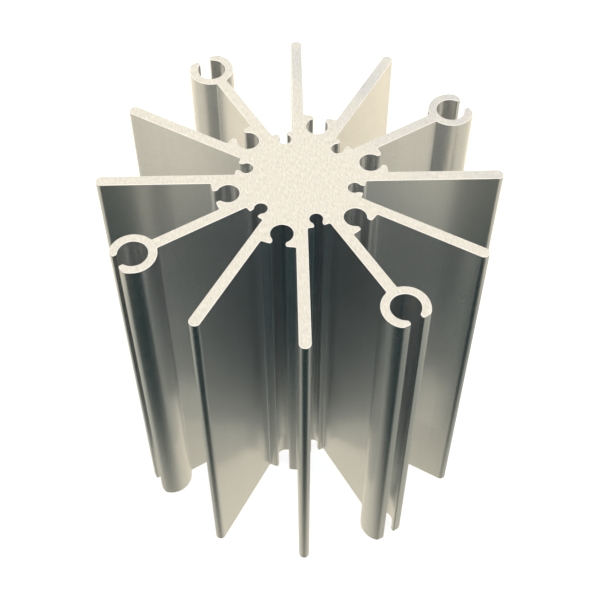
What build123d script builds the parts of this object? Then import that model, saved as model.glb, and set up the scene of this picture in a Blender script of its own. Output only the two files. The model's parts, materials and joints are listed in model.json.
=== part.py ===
from build123d import *
import os
from collections import namedtuple
from math import asin, cos, radians, sin, sqrt

# Round heat sink: one length of extruded aluminium, saw cut square at both ends.
# Twelve straight fins stand round a small core. Every third fin ends in a split
# tube that takes a screw, and a screw channel opens at the foot of every gap.
# Millimetres. The origin is the centre of the lower face, +Z runs along the
# extrusion, and the fins lie every 30 degrees from +X.

# Envelope
overall_diameter = 69.85
body_length = 76.2

# Fins
fin_count = 12
fin_thickness = 2.01
fin_root_fillet = 0.3

# Large screw channels, in every other gap
large_circle_diameter = 25.4
large_channel_diameter = 3.86
large_throat_width = 2.28
large_lip_thickness = 0.6
large_nose_radius = 0.45
large_neck_radius = 0.25

# Small screw channels, in the gaps between them
small_circle_diameter = 19.05
small_channel_diameter = 2.26
small_throat_width = 1.53
small_lip_thickness = 0.575
small_nose_radius = 0.3
small_neck_radius = 0.15

# Split screw tubes, at the ends of every third fin, with their centres this far inside
# the overall circle, which cuts their outer sides flat
tube_spacing = 3
tube_setback = 3.175
tube_bore_diameter = 5.05
tube_wall = 1.52
tube_mouth_width = 2.2
tube_stem_fillet = 0.35
tube_shoulder_radius = 1.1
tube_nose_radius = 0.33

# Reach of the cutting shapes past the metal they cut
cut_margin = 2.0

fin_pitch = 360 / fin_count
overall_radius = overall_diameter / 2
tube_circle_radius = overall_radius - tube_setback
tube_outer_radius = tube_bore_diameter / 2 + tube_wall
large_web_radius = large_circle_diameter / 2 + large_channel_diameter / 2 + large_lip_thickness
small_web_radius = small_circle_diameter / 2 + small_channel_diameter / 2 + small_lip_thickness

Channel = namedtuple("Channel", "circle_radius radius throat_width web_radius nose_radius neck_radius")

large_channel = Channel(
    large_circle_diameter / 2,
    large_channel_diameter / 2,
    large_throat_width,
    large_web_radius,
    large_nose_radius,
    large_neck_radius,
)
small_channel = Channel(
    small_circle_diameter / 2,
    small_channel_diameter / 2,
    small_throat_width,
    small_web_radius,
    small_nose_radius,
    small_neck_radius,
)


def fin_angle(number):
    """Direction of a fin in degrees from +X, counted clockwise from +Y."""
    return 90 - number * fin_pitch


def has_tube(number):
    """Fins 2, 5, 8 and 11 carry a tube; the others end in a round edge."""
    return number % tube_spacing == tube_spacing - 1


def gap_angle(number):
    """Direction of the gap that follows a fin clockwise."""
    return fin_angle(number + 0.5)


def gap_channel(number):
    """Large and small channels take turns round the core."""
    return large_channel if number % 2 == 0 else small_channel


def both_sides(along, across, angle=0):
    """Two places, one on each side of a line from the axis that lies at an angle."""
    return [Vector(along, side * across, 0).rotate(Axis.Z, angle) for side in (1, -1)]


def round_corners(section, places, radius):
    """Rounds the corners of a section that lie nearest to the given places."""
    corners = [section.vertices().sort_by_distance(place)[0] for place in places]
    return fillet(corners, radius)


def plain_fin(angle):
    """Flat blade from the axis to the overall circle, with a full round edge."""
    edge_radius = fin_thickness / 2
    length = overall_radius - edge_radius
    blade = Pos(length / 2, 0) * Rectangle(length, fin_thickness)
    edge = Pos(length, 0) * Circle(edge_radius)
    return Rot(0, 0, angle) * (blade + edge)


def tube_fin(angle):
    """Blade that ends in a tube, split outwards and cut back to the overall circle."""
    centre = tube_circle_radius
    bore_radius = tube_bore_diameter / 2
    half_mouth = tube_mouth_width / 2
    half_blade = fin_thickness / 2
    reach = tube_outer_radius + cut_margin
    blade = Pos(centre / 2, 0) * Rectangle(centre, fin_thickness)
    tube = Pos(centre, 0) * Circle(tube_outer_radius)
    bore = Pos(centre, 0) * Circle(bore_radius)
    mouth = Pos(centre + reach / 2, 0) * Rectangle(reach, tube_mouth_width)
    section = ((blade + tube) & Circle(overall_radius)) - bore - mouth

    # The overall circle leaves a shoulder on each side of the tube, and a nose by its mouth
    shoulder = (overall_radius**2 + centre**2 - tube_outer_radius**2) / (2 * centre)
    half_shoulder = sqrt(overall_radius**2 - shoulder**2)
    nose = sqrt(overall_radius**2 - half_mouth**2)
    neck = centre + sqrt(bore_radius**2 - half_mouth**2)
    stem = centre - sqrt(tube_outer_radius**2 - half_blade**2)
    section = round_corners(section, both_sides(shoulder, half_shoulder), tube_shoulder_radius)
    section = round_corners(section, both_sides(nose, half_mouth), tube_nose_radius)
    section = round_corners(section, both_sides(neck, half_mouth), tube_nose_radius)
    section = round_corners(section, both_sides(stem, half_blade), tube_stem_fillet)
    return Rot(0, 0, angle) * section


def web(angle, channel):
    """Part of the core between two fins, out to the floor of their gap."""
    radius = channel.web_radius
    start, end = both_sides(radius * cos(radians(fin_pitch / 2)), radius * sin(radians(fin_pitch / 2)))
    floor = ThreePointArc(start, (radius, 0), end)
    return Rot(0, 0, angle) * make_face(floor + Polyline(end, (0, 0), start))


def keyhole(angle, channel):
    """Round channel with a narrower throat that opens into the gap."""
    throat_length = channel.web_radius + cut_margin - channel.circle_radius
    throat_centre = channel.circle_radius + throat_length / 2
    hole = Pos(channel.circle_radius, 0) * Circle(channel.radius)
    throat = Pos(throat_centre, 0) * Rectangle(throat_length, channel.throat_width)
    return Rot(0, 0, angle) * (hole + throat)


def nose_places(angle, channel):
    """Where the throat of a channel opens into the gap."""
    half = channel.throat_width / 2
    return both_sides(sqrt(channel.web_radius**2 - half**2), half, angle)


def neck_places(angle, channel):
    """Where the throat of a channel meets its round part."""
    half = channel.throat_width / 2
    return both_sides(channel.circle_radius + sqrt(channel.radius**2 - half**2), half, angle)


def foot_places(angle, channel):
    """Where the fins beside a gap meet its floor."""
    from_middle = radians(fin_pitch / 2) - asin(fin_thickness / 2 / channel.web_radius)
    return both_sides(channel.web_radius * cos(from_middle), channel.web_radius * sin(from_middle), angle)


def heat_sink_section():
    """Whole section: fins and webs together, channels cut out, corners rounded."""
    fins = [tube_fin(fin_angle(n)) if has_tube(n) else plain_fin(fin_angle(n)) for n in range(fin_count)]
    gaps = [(gap_angle(n), gap_channel(n)) for n in range(fin_count)]
    webs = [web(*gap) for gap in gaps]
    keyholes = [keyhole(*gap) for gap in gaps]
    section = (Sketch() + fins + webs) - keyholes

    for channel in (large_channel, small_channel):
        angles = [angle for angle, kind in gaps if kind is channel]
        noses = [place for angle in angles for place in nose_places(angle, channel)]
        necks = [place for angle in angles for place in neck_places(angle, channel)]
        section = round_corners(section, noses, channel.nose_radius)
        section = round_corners(section, necks, channel.neck_radius)
    feet = [place for gap in gaps for place in foot_places(*gap)]
    return round_corners(section, feet, fin_root_fillet)


heat_sink = extrude(heat_sink_section(), body_length)

os.makedirs("parts", exist_ok=True)
export_step(heat_sink, "parts/heat_sink.step")
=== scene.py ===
import json
import math
import bmesh
import bpy
from mathutils import Euler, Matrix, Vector


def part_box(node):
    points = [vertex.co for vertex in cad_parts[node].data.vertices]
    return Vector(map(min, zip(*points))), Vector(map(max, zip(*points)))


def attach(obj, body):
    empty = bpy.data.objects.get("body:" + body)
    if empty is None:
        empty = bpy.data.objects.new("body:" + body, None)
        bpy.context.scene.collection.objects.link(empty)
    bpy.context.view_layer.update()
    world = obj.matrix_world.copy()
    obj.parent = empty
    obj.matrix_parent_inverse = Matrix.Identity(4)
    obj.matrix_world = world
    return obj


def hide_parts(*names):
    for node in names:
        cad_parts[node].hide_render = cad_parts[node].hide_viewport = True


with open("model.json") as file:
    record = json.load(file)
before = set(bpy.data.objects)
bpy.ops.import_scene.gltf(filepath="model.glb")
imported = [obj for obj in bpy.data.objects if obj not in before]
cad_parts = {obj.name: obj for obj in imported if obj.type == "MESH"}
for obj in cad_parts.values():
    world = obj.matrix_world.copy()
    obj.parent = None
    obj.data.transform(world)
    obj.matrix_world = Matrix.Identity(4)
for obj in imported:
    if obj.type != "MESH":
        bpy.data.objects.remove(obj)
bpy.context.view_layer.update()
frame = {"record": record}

# A round heat sink, sawn from a length of extruded aluminium, on a pale floor.
# Sizes in this script are millimetres unless a name says otherwise, and MM makes them metres.
MM = 0.001

mounts = {mount["name"]: mount for mount in frame["record"]["mounts"]}
low_corner, high_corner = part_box("heat_sink")

# Envelope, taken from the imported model
BODY_LENGTH = (high_corner.z - low_corner.z) / MM
OVERALL_RADIUS = round((high_corner.x - low_corner.x) / MM, 2) / 2

# Fins
FIN_COUNT = 12
FIN_THICKNESS = 2.01
FIN_ROOT_FILLET = 0.3

# Split tubes at the ends of every third fin
TUBE_SPACING = 3
TUBE_WALL = 1.52
TUBE_MOUTH_WIDTH = 2.2
TUBE_STEM_FILLET = 0.35
TUBE_SHOULDER_RADIUS = 1.1
TUBE_NOSE_RADIUS = 0.33

# Keyhole channels: throat width, lip thickness, nose radius and neck radius
LARGE_KEYHOLE = (2.28, 0.6, 0.45, 0.25)
SMALL_KEYHOLE = (1.53, 0.575, 0.3, 0.15)

# Where the outline of a fin's end joins the outline of a gap, from the axis
JOIN_RADIUS = 22.0

# Widest turn between two points of a round stretch, in degrees
ARC_STEP = 5.0

# The saw leaves this much of a break, along edges that fold more than this many degrees
EDGE_BREAK = 0.09
BREAK_ANGLE = 60

# Points closer than this become one, and edges that fold more than this many degrees stay sharp
WELD_DISTANCE = 0.002
SHARP_ANGLE = 40

# The floor lies just under the object, and the glowing card of painted reflections lies deeper
FLOOR_DEPTH = 0.2
CARD_DEPTH = 150
STAGE_REACH = 3000

# Values that the shaders of all the metal and of all the stage share
METAL = {"Metallic": 1.0}
MATT = {"Roughness": 0.9, "Specular IOR Level": 0.0}

# Skin that the die leaves
SKIN_DULL = (0.6, 0.625, 0.645, 1)
SKIN_BRIGHT = (0.885, 0.91, 0.93, 1)
COARSE_LINES = {"Lines per mm": 2.2, "Length in mm": 70.0}
FINE_LINES = {"Lines per mm": 7.0, "Length in mm": 40.0}

# Face that the saw leaves, and the film on it
CUT_DULL = (0.54, 0.527, 0.484, 1)
CUT_BRIGHT = (0.852, 0.831, 0.773, 1)
FILM = (0.83, 0.865, 0.94, 1)
LONG_MARKS = {"Direction": math.radians(-105), "Marks per mm": 4.8, "Length in mm": 1.0, "Seed": 1.0}
SHORT_MARKS = {"Direction": math.radians(-60), "Marks per mm": 5.2, "Length in mm": 0.35, "Seed": 5.0}

# Break along the edge of the cut
EDGE_DULL = (0.82, 0.80, 0.76, 1)
EDGE_BRIGHT = (0.93, 0.91, 0.88, 1)
EDGE_LINES = {"Lines per mm": 1.5, "Length in mm": 1.0}

# Card of painted reflections, which glows and is seen only in the metal: its middle under the object,
# the ring and the field round it, what lies behind and far away, and the painted dark reflection in
# front
CARD_MIDDLE = (0.68, 0.61, 0.47, 1)
CARD_RING = (0.3, 0.3, 0.257, 1)
CARD_FIELD = (0.61, 0.557, 0.442, 1)
CARD_BACK = (1.0, 0.86, 0.64, 1)
CARD_FAR = (0.9, 0.87, 0.83, 1)
CARD_PAINTED_DARK_REFLECTION = (0.002, 0.016, 0.018, 1)

# Light and surroundings: the floor's glow to the camera, and in mirrors and glass, the glow of the
# card of painted reflections, and the world's light on the object, where 1 is the white that is seen
WHITE = (1, 1, 1, 1)
WARM_WHITE = (1, 0.9, 0.68, 1)
COOL_WHITE = (0.8, 0.93, 1, 1)
LAMP_COLOUR = (1, 0.87, 0.65)
FLOOR_GLOW = 0.78
FLOOR_GLOW_MIRRORED = 0.45
PAINTED_REFLECTION_GLOW = 1.42
WORLD_LIGHT = 0.3


def arc(centre, start, end, turn):
    """Points on a circle from start to end, with turn 1 anticlockwise and -1 clockwise."""
    first = math.atan2(start.y - centre.y, start.x - centre.x)
    last = math.atan2(end.y - centre.y, end.x - centre.x)
    sweep = (turn * (last - first)) % math.tau
    steps = max(2, math.ceil(math.degrees(sweep) / ARC_STEP))
    radius = (start - centre).length
    angles = [first + turn * sweep * i / steps for i in range(steps + 1)]
    return [centre + radius * Vector((math.cos(a), math.sin(a))) for a in angles]


def rounding_centre(circle_x, reach, across, side=1):
    """Centre of a corner's rounding, at a reach from a point on the X axis and below that axis."""
    return Vector((circle_x + side * math.sqrt(reach**2 - across**2), -across))


def on_circle(circle_centre, circle_radius, rounding):
    """Where a rounding that touches a circle meets it."""
    return circle_centre + circle_radius * (rounding - circle_centre).normalized()


def turned(point, angle):
    """A point turned about the axis by an angle in degrees."""
    turn = math.radians(angle)
    cos, sin = math.cos(turn), math.sin(turn)
    return Vector((cos * point.x - sin * point.y, sin * point.x + cos * point.y))


def mirrored(half):
    """A half outline followed by its mirror image beyond the X axis."""
    return half + [Vector((point.x, -point.y)) for point in reversed(half)]


def slot_lips(outer_radius, half_width, nose, neck, hole_centre, hole_radius):
    """Lower lip of a slot, from the circle that it opens through to the bottom of its round hole."""
    axis = Vector((0, 0))
    nose_centre = rounding_centre(0, outer_radius - nose, half_width + nose)
    neck_centre = rounding_centre(hole_centre.x, hole_radius + neck, half_width + neck)
    nose_start = on_circle(axis, outer_radius, nose_centre)
    neck_end = on_circle(hole_centre, hole_radius, neck_centre)
    nose_end = Vector((nose_centre.x, -half_width))
    neck_start = Vector((neck_centre.x, -half_width))
    bottom = hole_centre - Vector((hole_radius, 0))
    points = arc(nose_centre, nose_start, nose_end, 1)
    points += arc(neck_centre, neck_start, neck_end, 1)
    points += arc(hole_centre, neck_end, bottom, -1)
    return points


def plain_end():
    """Outline of a fin that ends in a full round edge, with the fin along +X."""
    half = FIN_THICKNESS / 2
    centre = Vector((OVERALL_RADIUS - half, 0))
    start, end = (centre + Vector((0, side * half)) for side in (-1, 1))
    points = [Vector((JOIN_RADIUS, -half))]
    points += arc(centre, start, end, 1)
    return points + [Vector((JOIN_RADIUS, half))]


def tube_end():
    """Outline of a fin that ends in a split tube, cut flat by the overall circle."""
    dims = mounts["tube_bores_upper"]["dims"]
    centre, bore = Vector((dims["pcd_mm"] / 2, 0)), dims["hole_r_mm"]
    outer, half = bore + TUBE_WALL, FIN_THICKNESS / 2
    axis = Vector((0, 0))

    stem = rounding_centre(centre.x, outer + TUBE_STEM_FILLET, half + TUBE_STEM_FILLET, -1)
    stem_end = on_circle(centre, outer, stem)

    # The shoulder touches the tube and the overall circle from inside
    from_tube, from_axis = outer - TUBE_SHOULDER_RADIUS, OVERALL_RADIUS - TUBE_SHOULDER_RADIUS
    along = (from_axis**2 - from_tube**2 + centre.x**2) / (2 * centre.x)
    shoulder = Vector((along, -math.sqrt(from_axis**2 - along**2)))
    shoulder_start = on_circle(centre, outer, shoulder)
    shoulder_end = on_circle(axis, OVERALL_RADIUS, shoulder)

    nose = neck = TUBE_NOSE_RADIUS
    lips = slot_lips(OVERALL_RADIUS, TUBE_MOUTH_WIDTH / 2, nose, neck, centre, bore)
    points = [Vector((JOIN_RADIUS, -half))]
    points += arc(stem, Vector((stem.x, -half)), stem_end, -1)
    points += arc(centre, stem_end, shoulder_start, 1)
    points += arc(shoulder, shoulder_start, shoulder_end, 1)
    points += arc(axis, shoulder_end, lips[0], 1)
    return mirrored(points + lips)


def gap(mount_name, keyhole):
    """Outline between two fins, with a keyhole channel in the middle of the gap's floor along +X."""
    throat, lip, nose, neck = keyhole
    dims = mounts[mount_name]["dims"]
    centre, hole = Vector((dims["pcd_mm"] / 2, 0)), dims["hole_r_mm"]
    floor = centre.x + hole + lip
    axis, half = Vector((0, 0)), FIN_THICKNESS / 2

    # The foot of the fin on the lower side, worked out with that fin along +X and then turned
    lean = -180 / FIN_COUNT
    across = half + FIN_ROOT_FILLET
    foot = Vector((math.sqrt((floor + FIN_ROOT_FILLET) ** 2 - across**2), across))
    foot_start = turned(Vector((foot.x, half)), lean)
    foot = turned(foot, lean)
    foot_end = on_circle(axis, floor, foot)

    lips = slot_lips(floor, throat / 2, nose, neck, centre, hole)
    points = [turned(Vector((JOIN_RADIUS, half)), lean)]
    points += arc(foot, foot_start, foot_end, -1)
    points += arc(axis, foot_end, lips[0], 1)
    return mirrored(points + lips)


# Attribute that says which stretch of the outline a point belongs to
STRETCH = "stretch"
STRETCHES = {
    "plain end": plain_end(),
    "tube end": tube_end(),
    "large gap": gap("large_channels_upper", LARGE_KEYHOLE),
    "small gap": gap("small_channels_upper", SMALL_KEYHOLE),
}


def outline_stretches():
    """Mesh of open chains of edges, one for each kind of stretch that the section repeats."""
    points, edges, kinds = [], [], []
    for kind, chain in enumerate(STRETCHES.values()):
        first = len(points)
        points += [(p.x * MM, p.y * MM, 0) for p in chain]
        edges += [(first + i, first + i + 1) for i in range(len(chain) - 1)]
        kinds += [kind] * len(chain)
    mesh = bpy.data.meshes.new("outline_stretches")
    mesh.from_pydata(points, edges, [])
    mesh.attributes.new(STRETCH, "INT", "POINT").data.foreach_set("value", kinds)
    return mesh


class Tree:
    """Short way to add nodes to a node tree and to link them."""

    def __init__(self, tree):
        self.tree = tree

    def node(self, kind, inputs=None, **settings):
        """Adds a node, with settings on it and values or sockets for its inputs."""
        node = self.tree.nodes.new(kind)
        for name, value in settings.items():
            setattr(node, name, value)
        for name, value in (inputs or {}).items():
            self.feed(node.inputs[name], value)
        return node

    def feed(self, socket, value):
        """Links a socket to another one, or sets its value."""
        if isinstance(value, bpy.types.NodeSocket):
            self.tree.links.new(value, socket)
        else:
            socket.default_value = value

    def math(self, operation, first, second=0.0, third=0.0, **settings):
        """Adds a sum on up to three values and gives its result."""
        inputs = {0: first, 1: second, 2: third}
        return self.node("ShaderNodeMath", inputs, operation=operation, **settings).outputs[0]

    def vector_math(self, operation, first, second):
        """Adds a sum on two vectors and gives its result."""
        inputs = {0: first, 1: second}
        return self.node("ShaderNodeVectorMath", inputs, operation=operation).outputs["Vector"]


def add_input(tree, name, socket_type, value=None):
    """Named input of a node group, with its default value."""
    socket = tree.interface.new_socket(name=name, in_out="INPUT", socket_type=socket_type)
    if value is not None:
        socket.default_value = value
    return socket


def extrusion_tree():
    """Geometry nodes that repeat the stretches round the axis, extrude the outline and cap it."""
    tree = bpy.data.node_groups.new("extruded_section", "GeometryNodeTree")
    add_input(tree, "Stretches", "NodeSocketGeometry")
    add_input(tree, "Fin Count", "NodeSocketInt", FIN_COUNT)
    add_input(tree, "Tube Spacing", "NodeSocketInt", TUBE_SPACING)
    add_input(tree, "Length", "NodeSocketFloat", 1.0)
    add_input(tree, "Weld Distance", "NodeSocketFloat", 0.0001)
    add_input(tree, "Sharp Angle", "NodeSocketFloat", 1.0)
    add_input(tree, "Skin Material", "NodeSocketMaterial")
    add_input(tree, "Cut Material", "NodeSocketMaterial")
    tree.interface.new_socket(name="Body", in_out="OUTPUT", socket_type="NodeSocketGeometry")
    t = Tree(tree)
    given = t.node("NodeGroupInput").outputs

    points = t.node("GeometryNodePoints", {"Count": given["Fin Count"]}).outputs[0]
    index = t.node("GeometryNodeInputIndex").outputs[0]
    pitch = t.math("DIVIDE", math.tau, given["Fin Count"])
    fin_turn = t.math("SUBTRACT", math.pi / 2, t.math("MULTIPLY", index, pitch))
    gap_turn = t.math("SUBTRACT", fin_turn, t.math("MULTIPLY", pitch, 0.5))
    place = t.math("MODULO", index, given["Tube Spacing"])
    last_place = t.math("SUBTRACT", given["Tube Spacing"], 1.0)
    with_tube = t.math("COMPARE", place, last_place, 0.1)
    odd_gap = t.math("MODULO", index, 2.0)
    stretch = t.node("GeometryNodeInputNamedAttribute", {"Name": STRETCH}, data_type="INT").outputs[0]

    rows = [
        (t.math("SUBTRACT", 1.0, with_tube), fin_turn),
        (with_tube, fin_turn),
        (t.math("SUBTRACT", 1.0, odd_gap), gap_turn),
        (odd_gap, gap_turn),
    ]
    joined = t.node("GeometryNodeJoinGeometry")
    for kind, (chosen, turn) in enumerate(rows):
        is_kind = t.math("COMPARE", stretch, float(kind), 0.1)
        chain = t.node(
            "GeometryNodeSeparateGeometry",
            {"Geometry": given["Stretches"], "Selection": is_kind},
            domain="POINT",
        ).outputs["Selection"]
        rotation = t.node("ShaderNodeCombineXYZ", {"Z": turn}).outputs[0]
        copies = t.node(
            "GeometryNodeInstanceOnPoints",
            {"Points": points, "Selection": chosen, "Instance": chain, "Rotation": rotation},
        )
        tree.links.new(copies.outputs[0], joined.inputs[0])
    realized = t.node("GeometryNodeRealizeInstances", {"Geometry": joined.outputs[0]}).outputs[0]
    outline = t.node(
        "GeometryNodeMergeByDistance",
        {"Geometry": realized, "Distance": given["Weld Distance"]},
    ).outputs[0]

    upwards = t.node("ShaderNodeCombineXYZ", {"Z": given["Length"]}).outputs[0]
    walls = t.node(
        "GeometryNodeExtrudeMesh",
        {"Mesh": outline, "Offset": upwards, "Offset Scale": 1.0},
        mode="EDGES",
    ).outputs["Mesh"]

    loop = t.node("GeometryNodeMeshToCurve", {"Mesh": outline}).outputs[0]
    cap = t.node("GeometryNodeFillCurve", {"Curve": loop}, mode="NGONS").outputs[0]
    lower = t.node("GeometryNodeFlipFaces", {"Mesh": cap}).outputs[0]
    upper = t.node("GeometryNodeTransform", {"Geometry": cap, "Translation": upwards}).outputs[0]

    whole = t.node("GeometryNodeJoinGeometry")
    for part in (walls, lower, upper):
        tree.links.new(part, whole.inputs[0])
    welded = t.node(
        "GeometryNodeMergeByDistance",
        {"Geometry": whole.outputs[0], "Distance": given["Weld Distance"]},
    ).outputs[0]
    smooth = t.node("GeometryNodeSetShadeSmooth", {"Geometry": welded}, domain="FACE").outputs[0]
    fold = t.node("GeometryNodeInputMeshEdgeAngle").outputs["Unsigned Angle"]
    sharp = t.math("GREATER_THAN", fold, given["Sharp Angle"])
    creased = t.node(
        "GeometryNodeSetShadeSmooth",
        {"Geometry": smooth, "Selection": sharp, "Shade Smooth": False},
        domain="EDGE",
    ).outputs[0]

    body = t.node("GeometryNodeRealizeInstances", {"Geometry": creased}).outputs[0]
    body = t.node(
        "GeometryNodeSetMaterial",
        {"Geometry": body, "Material": given["Skin Material"]},
    ).outputs[0]

    # The two cuts are the faces that lie level
    normal = t.node("GeometryNodeInputNormal").outputs[0]
    upward = t.node("ShaderNodeSeparateXYZ", {0: normal}).outputs["Z"]
    level = t.math("GREATER_THAN", t.math("ABSOLUTE", upward), 0.5)
    body = t.node(
        "GeometryNodeSetMaterial",
        {"Geometry": body, "Selection": level, "Material": given["Cut Material"]},
    ).outputs[0]
    result = t.node("NodeGroupOutput")
    tree.links.new(body, result.inputs[0])
    return tree


def blend(t, factor, first, second, blend_type="MIX"):
    """Colour between two colours, or the first with the second laid over it."""
    node = t.node("ShaderNodeMix", data_type="RGBA", blend_type=blend_type)
    t.feed(node.inputs[0], factor)
    t.feed(node.inputs[6], first)
    t.feed(node.inputs[7], second)
    return node.outputs[2]


def spread(t, value, low, high):
    """Takes a value from 0 to 1 to a range."""
    return t.node("ShaderNodeMapRange", {"Value": value, "To Min": low, "To Max": high}).outputs[0]


def between(t, value, low, high):
    """How far a value lies from low to high, from 0 to 1."""
    inputs = {"Value": value, "From Min": low, "From Max": high}
    return t.node("ShaderNodeMapRange", inputs).outputs[0]


def soft_step(t, value, start, end):
    """Value from 0 at start to 1 at end, both in millimetres, eased at both."""
    inputs = {"Value": value, "From Min": start * MM, "From Max": end * MM}
    return t.node("ShaderNodeMapRange", inputs, interpolation_type="SMOOTHSTEP").outputs[0]


def noise(t, position, scale, detail):
    """Noise over the object, with its scale per millimetre."""
    inputs = {"Vector": position, "Scale": scale / MM, "Detail": detail}
    return t.node("ShaderNodeTexNoise", inputs).outputs[0]


def bumps(t, mask, strength, height):
    """Normal over bumps that follow a mask and are this many millimetres high."""
    inputs = {"Strength": strength, "Distance": height * MM, "Height": mask}
    return t.node("ShaderNodeBump", inputs).outputs[0]


def shader_group(name, inputs, outputs):
    """Shader node group with named sockets, and the tree, inputs and output node to fill it."""
    group = bpy.data.node_groups.new(name, "ShaderNodeTree")
    for socket_name, socket_type, value in inputs:
        add_input(group, socket_name, socket_type, value)
    for socket_name, socket_type in outputs:
        group.interface.new_socket(name=socket_name, in_out="OUTPUT", socket_type=socket_type)
    t = Tree(group)
    return t, t.node("NodeGroupInput").outputs, t.node("NodeGroupOutput").inputs


def die_line_group():
    """Fine lines along the extrusion, as a mask round 0.5."""
    t, given, result = shader_group(
        "die_lines",
        [
            ("Position", "NodeSocketVector", None),
            ("Lines per mm", "NodeSocketFloat", 4.0),
            ("Length in mm", "NodeSocketFloat", 60.0),
        ],
        [("Lines", "NodeSocketFloat")],
    )
    across = t.math("DIVIDE", given["Lines per mm"], MM)
    along = t.math("DIVIDE", 1 / MM, given["Length in mm"])
    scale = t.node("ShaderNodeCombineXYZ", {"X": across, "Y": across, "Z": along}).outputs[0]
    place = t.vector_math("MULTIPLY", given["Position"], scale)
    lines = t.node(
        "ShaderNodeTexNoise",
        {"Vector": place, "Scale": 1.0, "Detail": 3.0, "Roughness": 0.6},
    ).outputs[0]
    t.feed(result["Lines"], lines)
    return t.tree


def saw_mark_group():
    """Straight fine scratches across the cut, at one direction, as a mask from 0 to 1."""
    t, given, result = shader_group(
        "saw_marks",
        [
            ("Position", "NodeSocketVector", None),
            ("Direction", "NodeSocketFloat", 0.0),
            ("Marks per mm", "NodeSocketFloat", 3.0),
            ("Length in mm", "NodeSocketFloat", 4.0),
            ("Seed", "NodeSocketFloat", 0.0),
        ],
        [("Marks", "NodeSocketFloat")],
    )
    turn = t.node("ShaderNodeCombineXYZ", {"Z": given["Direction"]}).outputs[0]
    laid = t.node(
        "ShaderNodeVectorRotate",
        {"Vector": given["Position"], "Rotation": turn},
        rotation_type="EULER_XYZ",
    ).outputs[0]
    along = t.math("DIVIDE", 1 / MM, given["Length in mm"])
    across = t.math("DIVIDE", given["Marks per mm"], MM)
    scale = t.node("ShaderNodeCombineXYZ", {"X": along, "Y": across, "Z": 0.0}).outputs[0]
    place = t.vector_math("MULTIPLY", laid, scale)
    marks = t.node(
        "ShaderNodeTexNoise",
        {"Vector": place, "W": given["Seed"], "Scale": 1.0, "Detail": 4.0, "Roughness": 0.65},
        noise_dimensions="4D",
    ).outputs[0]
    t.feed(result["Marks"], between(t, marks, 0.3, 0.7))
    return t.tree


DIE_LINES = die_line_group()
SAW_MARKS = saw_mark_group()


def new_material(name, values):
    """Material with one Principled shader; gives its tree, shader inputs and place on the object."""
    material = bpy.data.materials.new(name)
    material.use_nodes = True
    material.node_tree.nodes.clear()
    t = Tree(material.node_tree)
    shader = t.node("ShaderNodeBsdfPrincipled", values)
    output = t.node("ShaderNodeOutputMaterial")
    t.feed(output.inputs["Surface"], shader.outputs[0])
    position = t.node("ShaderNodeTexCoord").outputs["Object"]
    return material, t, shader.inputs, position


def use_group(t, tree, inputs):
    """Places a shared node group with its own values."""
    group = t.tree.nodes.new("ShaderNodeGroup")
    group.node_tree = tree
    for name, value in inputs.items():
        t.feed(group.inputs[name], value)
    return group.outputs


def mill_skin():
    """Skin that the die leaves: bright, faintly lined along the extrusion."""
    material, t, metal, position = new_material("mill_skin", METAL)
    coarse = use_group(t, DIE_LINES, {"Position": position, **COARSE_LINES})["Lines"]
    fine = use_group(t, DIE_LINES, {"Position": position, **FINE_LINES})["Lines"]
    lines = t.math("MULTIPLY_ADD", fine, 0.4, t.math("MULTIPLY", coarse, 0.6))
    speckle = noise(t, position, 6, 2.0)
    shade = t.math("MULTIPLY_ADD", speckle, 0.5, t.math("MULTIPLY", lines, 0.5))
    t.feed(metal["Base Color"], blend(t, shade, SKIN_DULL, SKIN_BRIGHT))
    grain = between(t, noise(t, position, 18, 1.0), 0.42, 0.58)
    t.feed(metal["Roughness"], spread(t, grain, 0.14, 0.44))
    t.feed(metal["Normal"], bumps(t, lines, strength=0.1, height=0.02))

    # The lines spread reflections across them, round the section
    normal = t.node("ShaderNodeNewGeometry").outputs["Normal"]
    t.feed(metal["Anisotropic"], 0.9)
    t.feed(metal["Tangent"], t.vector_math("CROSS_PRODUCT", normal, (0, 0, 1)))
    return material


def saw_cut():
    """Face that the saw leaves: pale, matt and finely marked two ways."""
    material, t, metal, position = new_material("saw_cut", METAL)
    long_marks = use_group(t, SAW_MARKS, {"Position": position, **LONG_MARKS})["Marks"]
    short_marks = use_group(t, SAW_MARKS, {"Position": position, **SHORT_MARKS})["Marks"]
    marks = t.math("MULTIPLY_ADD", short_marks, 0.35, t.math("MULTIPLY", long_marks, 0.65))
    pale = blend(t, marks, CUT_DULL, CUT_BRIGHT)

    # A thin grey film reaches in from one side, in patches
    x, y, _ = t.node("ShaderNodeSeparateXYZ", {0: position}).outputs
    reach = t.math("MULTIPLY_ADD", x, 0.5 / MM, t.math("MULTIPLY", y, 0.6 / MM))
    patches = between(t, noise(t, position, 0.13, 3.0), 0.38, 0.62)
    film = t.math("MULTIPLY", between(t, reach, 7.0, 20.0), spread(t, patches, 0.35, 1.0))
    t.feed(metal["Base Color"], blend(t, film, pale, FILM, "MULTIPLY"))
    t.feed(metal["Roughness"], spread(t, marks, 0.7, 0.6))
    t.feed(metal["Normal"], bumps(t, marks, strength=0.5, height=0.03))
    return material


def cut_edge():
    """Burnished break along the edge of the cut."""
    material, t, metal, position = new_material("cut_edge", METAL)
    lines = use_group(t, DIE_LINES, {"Position": position, **EDGE_LINES})["Lines"]
    t.feed(metal["Base Color"], blend(t, lines, EDGE_DULL, EDGE_BRIGHT))
    t.feed(metal["Roughness"], spread(t, lines, 0.25, 0.4))
    return material


def input_identifier(tree, name):
    """Identifier of a named input of a geometry node tree."""
    return next(item.identifier for item in tree.interface.items_tree if item.name == name)


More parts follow.
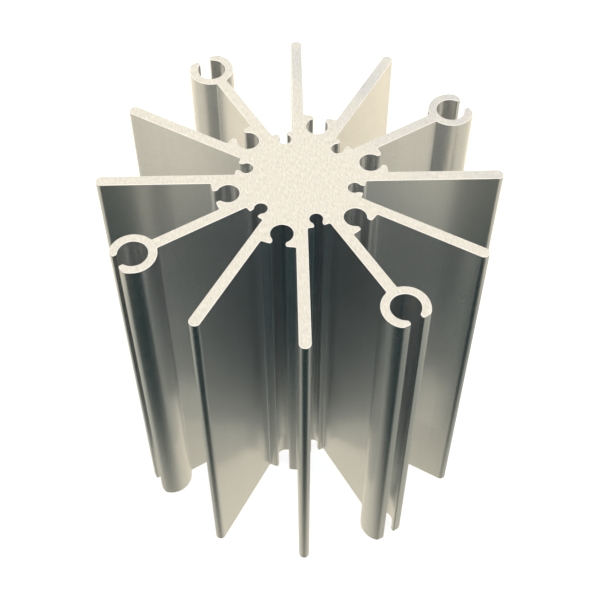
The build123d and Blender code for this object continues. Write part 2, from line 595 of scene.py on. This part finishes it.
def build_heat_sink():
    """The extrusion, with its skin, saw cuts and broken edges, as one plain closed mesh."""
    skin, cut, edge = mill_skin(), saw_cut(), cut_edge()
    tree = extrusion_tree()
    outline = outline_stretches()
    for material in (skin, cut, edge):
        outline.materials.append(material)
    source = bpy.data.objects.new("section_source", outline)
    bpy.context.scene.collection.objects.link(source)
    modifier = source.modifiers.new("extrusion", "NODES")
    modifier.node_group = tree
    values = {
        "Fin Count": FIN_COUNT,
        "Tube Spacing": TUBE_SPACING,
        "Length": BODY_LENGTH * MM,
        "Weld Distance": WELD_DISTANCE * MM,
        "Sharp Angle": math.radians(SHARP_ANGLE),
        "Skin Material": skin,
        "Cut Material": cut,
    }
    for name, value in values.items():
        modifier[input_identifier(tree, name)] = value
    depsgraph = bpy.context.evaluated_depsgraph_get()
    mesh = bpy.data.meshes.new_from_object(source.evaluated_get(depsgraph))
    bpy.data.objects.remove(source)
    mesh.name = "heat_sink_skin"

    shape = bmesh.new()
    shape.from_mesh(mesh)
    bmesh.ops.recalc_face_normals(shape, faces=shape.faces)
    shape.to_mesh(mesh)
    shape.free()

    piece = bpy.data.objects.new("heat_sink_skin", mesh)
    bpy.context.scene.collection.objects.link(piece)
    bevel = piece.modifiers.new("edge_break", "BEVEL")
    bevel.width = EDGE_BREAK * MM
    bevel.segments = 2
    bevel.limit_method = "ANGLE"
    bevel.angle_limit = math.radians(BREAK_ANGLE)
    bevel.material = mesh.materials.find(edge.name)
    bevel.use_clamp_overlap = False
    bevel.harden_normals = True
    return piece


def area_lamp(name, place, size, power):
    """Soft square lamp aimed at the middle of the heat sink; its power is in watts."""
    lamp = bpy.data.lights.new(name, "AREA")
    lamp.energy = power
    lamp.color = LAMP_COLOUR
    lamp.shape = "SQUARE"
    lamp.size = size * MM
    lamp_object = bpy.data.objects.new(name, lamp)
    lamp_object.location = Vector(place) * MM
    aim = Vector((0, 0, BODY_LENGTH / 2 * MM)) - lamp_object.location
    lamp_object.rotation_euler = aim.to_track_quat("-Z", "Y").to_euler()
    bpy.context.scene.collection.objects.link(lamp_object)


def level_plane(name, depth, material):
    """Wide level plane at a depth below the foot of the object."""
    reach = STAGE_REACH * MM
    corners = [(x * reach, y * reach, 0) for x, y in ((-1, -1), (1, -1), (1, 1), (-1, 1))]
    mesh = bpy.data.meshes.new(name)
    mesh.from_pydata(corners, [], [(0, 1, 2, 3)])
    mesh.materials.append(material)
    plane = bpy.data.objects.new(name, mesh)
    plane.location = (0, 0, -depth * MM)
    bpy.context.scene.collection.objects.link(plane)
    return plane


def pale_floor():
    """Floor that shows white to the camera and keeps the shadow; reflections show the card of painted
    reflections instead.
    """
    material, t, surface, _ = new_material("pale_floor", {**MATT, "Base Color": (0.9, 0.9, 0.9, 1)})
    path = t.node("ShaderNodeLightPath").outputs
    mirrored = t.math("ADD", path["Is Glossy Ray"], path["Is Transmission Ray"], use_clamp=True)
    mirrored = t.math("MULTIPLY", mirrored, FLOOR_GLOW_MIRRORED)
    glow = t.math("MULTIPLY_ADD", path["Is Camera Ray"], FLOOR_GLOW, mirrored)
    t.feed(surface["Emission Color"], blend(t, path["Is Camera Ray"], WARM_WHITE, WHITE))
    t.feed(surface["Emission Strength"], glow)
    floor = level_plane("floor", FLOOR_DEPTH, material)
    floor.visible_glossy = False
    return floor


def painted_reflection_card():
    """Large card of painted reflections, seen only in the metal: grey round the object, dark in front
    and pale behind.
    """
    material, t, surface, place = new_material("painted_reflection_card", {**MATT, "Base Color": (0, 0, 0, 1)})
    side, depth, _ = t.node("ShaderNodeSeparateXYZ", {0: place}).outputs
    from_axis = t.node("ShaderNodeVectorMath", {0: place}, operation="LENGTH").outputs["Value"]

    # Painted reflection in bands round the axis and towards the back, then a painted dark reflection
    # in front, between its two sides
    colour = blend(t, soft_step(t, from_axis, 172, 10), CARD_RING, CARD_MIDDLE)
    colour = blend(t, soft_step(t, from_axis, 186, 212), colour, CARD_FIELD)
    colour = blend(t, soft_step(t, depth, 10, 200), colour, CARD_BACK)
    colour = blend(t, soft_step(t, from_axis, 400, 1000), colour, CARD_FAR)
    front = t.math("MULTIPLY", soft_step(t, side, 200, 105), soft_step(t, side, -215, -138))
    front = t.math("MULTIPLY", soft_step(t, depth, -58, -140), front)
    # The dark patch in front is a painted dark reflection, laid over the painted reflections round it
    t.feed(surface["Emission Color"], blend(t, front, colour, CARD_PAINTED_DARK_REFLECTION))
    t.feed(surface["Emission Strength"], PAINTED_REFLECTION_GLOW)
    card = level_plane("painted_reflection_card", CARD_DEPTH, material)
    # Seen only in the metal and lighting nothing, so all that the card shows is painted reflection
    card.visible_camera = False
    card.visible_shadow = False
    card.visible_diffuse = False
    return card


def studio_world():
    """White surroundings to the camera and to reflections, and soft light on the object."""
    world = bpy.data.worlds.new("studio")
    world.use_nodes = True
    world.node_tree.nodes.clear()
    t = Tree(world.node_tree)
    path = t.node("ShaderNodeLightPath").outputs
    seen = t.math("ADD", path["Is Glossy Ray"], path["Is Transmission Ray"])
    seen = t.math("ADD", seen, path["Is Camera Ray"], use_clamp=True)
    background = t.node("ShaderNodeBackground", {"Color": blend(t, seen, COOL_WHITE, WHITE)})
    t.feed(background.inputs["Strength"], spread(t, seen, WORLD_LIGHT, 1.0))
    output = t.node("ShaderNodeOutputWorld")
    t.feed(output.inputs["Surface"], background.outputs[0])
    bpy.context.scene.world = world


def photo_camera():
    """Camera at the place and angle from which the photograph was taken."""
    camera = bpy.data.cameras.new("camera")
    camera.sensor_width = 36
    camera.lens = 68.68
    camera.shift_y = -0.125
    camera.clip_start = 10 * MM
    camera_object = bpy.data.objects.new("camera", camera)
    camera_object.location = Vector((-2.949, -131.263, 221.513)) * MM
    camera_object.rotation_euler = Euler([math.radians(angle) for angle in (39.731, 0.027, -1.305)])
    bpy.context.scene.collection.objects.link(camera_object)
    bpy.context.scene.camera = camera_object


scene = bpy.context.scene
scene.view_settings.view_transform = "Standard"

piece = build_heat_sink()
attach(piece, "root")
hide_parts("heat_sink")

pale_floor()
painted_reflection_card()
studio_world()
area_lamp("back_softbox", place=(0, 480, 600), size=700, power=0.85)
area_lamp("top_softbox", place=(0, 0, 700), size=900, power=1.15)
photo_camera()
